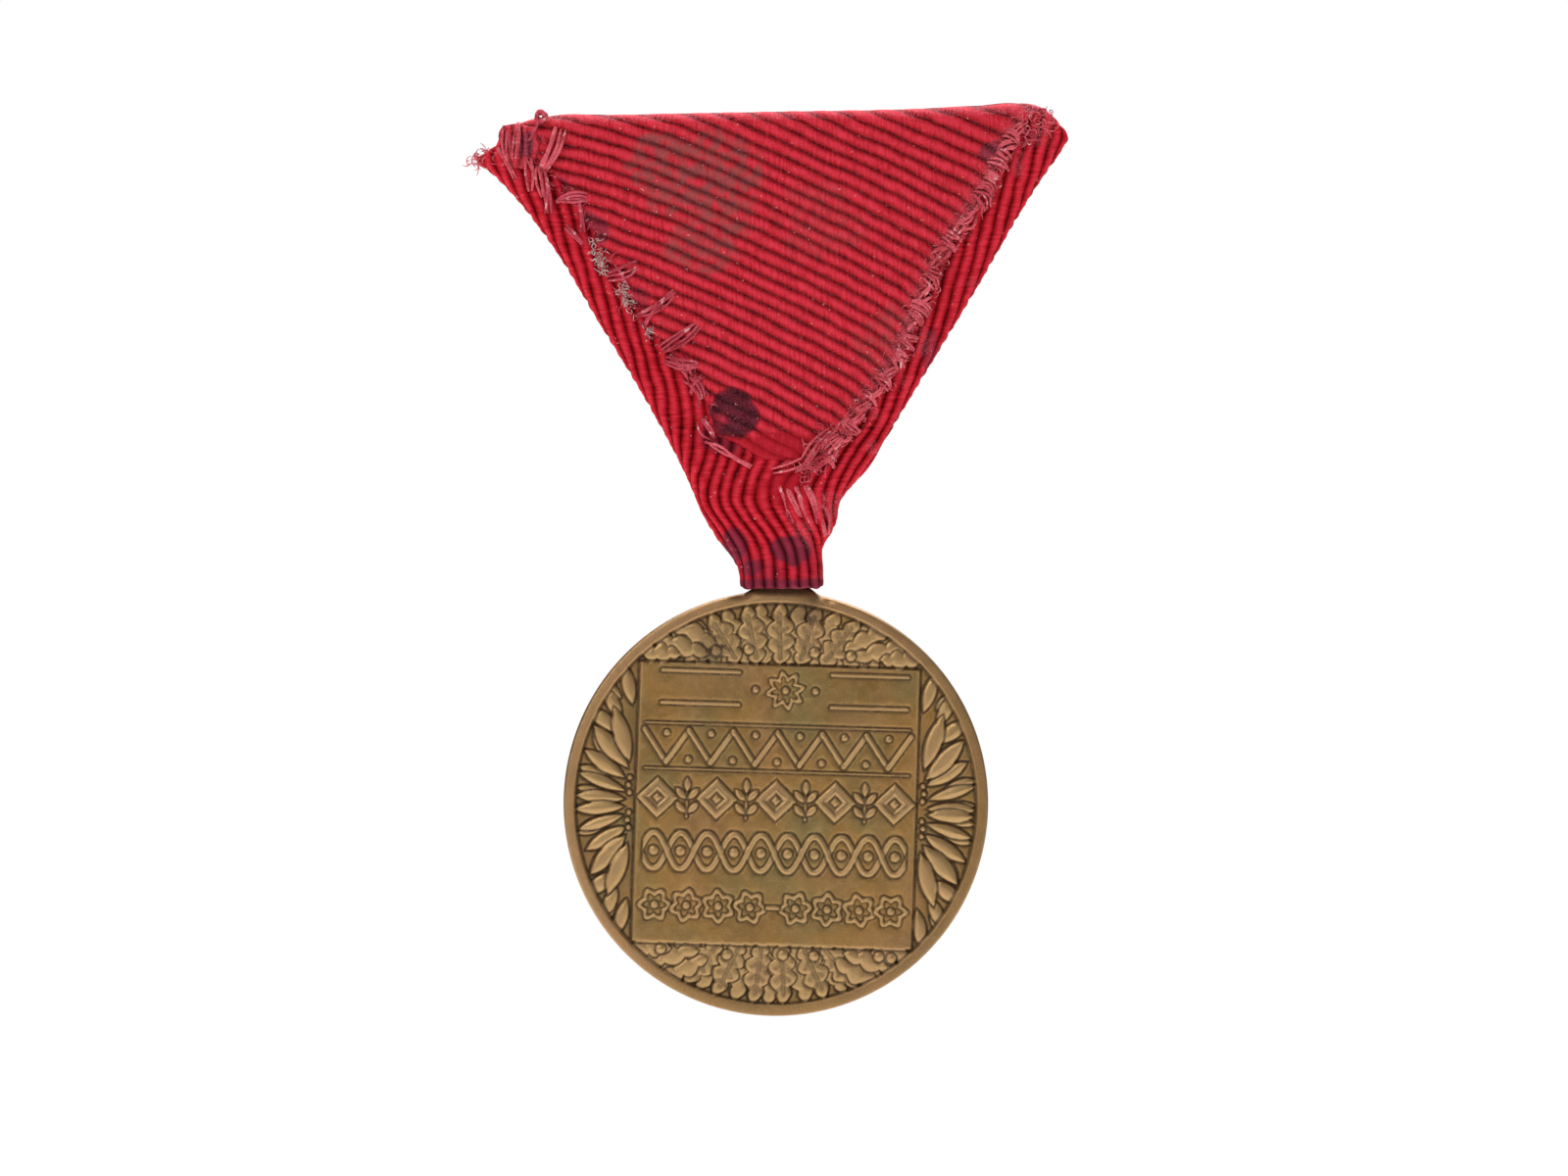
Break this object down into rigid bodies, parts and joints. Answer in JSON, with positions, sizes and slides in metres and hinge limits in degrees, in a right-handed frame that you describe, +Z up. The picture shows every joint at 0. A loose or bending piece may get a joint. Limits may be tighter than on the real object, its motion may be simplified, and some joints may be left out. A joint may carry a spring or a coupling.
{
  "type": "commemorative medal on a triangular ribbon",
  "caption": "Round struck bronze medal hung by a ring from a red ribbed ribbon folded and hand-stitched into a triangle, with the sewn back of the ribbon and the medal's reverse towards -Y.",
  "frame": {"origin": "middle of the ribbon's top fold, on the face that lies against the wearer's chest", "axes": "+Z up along the hanging medal, -Y out of the sewn back of the ribbon and the medal's reverse, +X to the right as seen from the back"},
  "size_m": [0.0475, 0.0042, 0.0727],
  "materials": {
    "ribbon": "ribbed silk-like weave, crimson, faded along the folds",
    "ribbon_back": "ribbed silk-like weave, crimson, with grey-brown stains",
    "stiffening_cloth": "plain stiffened cotton",
    "thread": "twisted sewing thread, slightly faded",
    "ring_brass": "dull drawn wire",
    "struck_bronze": "struck, brown patina, coppery where worn"
  },
  "bodies": {
    "ribbon": {"back_panel": "ribbon_back", "left_turnback": "ribbon", "right_turnback": "ribbon", "stiffener": "stiffening_cloth", "top_fold": "ribbon", "front_ribbon": "ribbon", "neck_gather": "ribbon", "ring_bight": "ribbon", "left_seam_stitches": "thread", "right_seam_stitches": "thread", "lower_edge_stitches": "thread", "neck_tack_stitches": "thread", "corner_stitches": "thread", "corner_knot": "thread"},
    "ring": {"suspension_ring": "ring_brass", "neck_sleeve": "ribbon"},
    "medal": {"medal": "struck_bronze"}
  },
  "joints": [
    {"name": "neck_bend", "type": "hinge", "parent": "ribbon", "child": "ring", "pos_m": [0.00022, 0.0019, -0.0334], "axis": [1, 0, 0], "range_deg": [-60, 60]},
    {"name": "medal_swing", "type": "hinge", "parent": "ring", "child": "medal", "pos_m": [0.00022, 0.0019, -0.0372], "axis": [0.9995, 0, -0.0314], "range_deg": [-12, 12]}
  ]
}
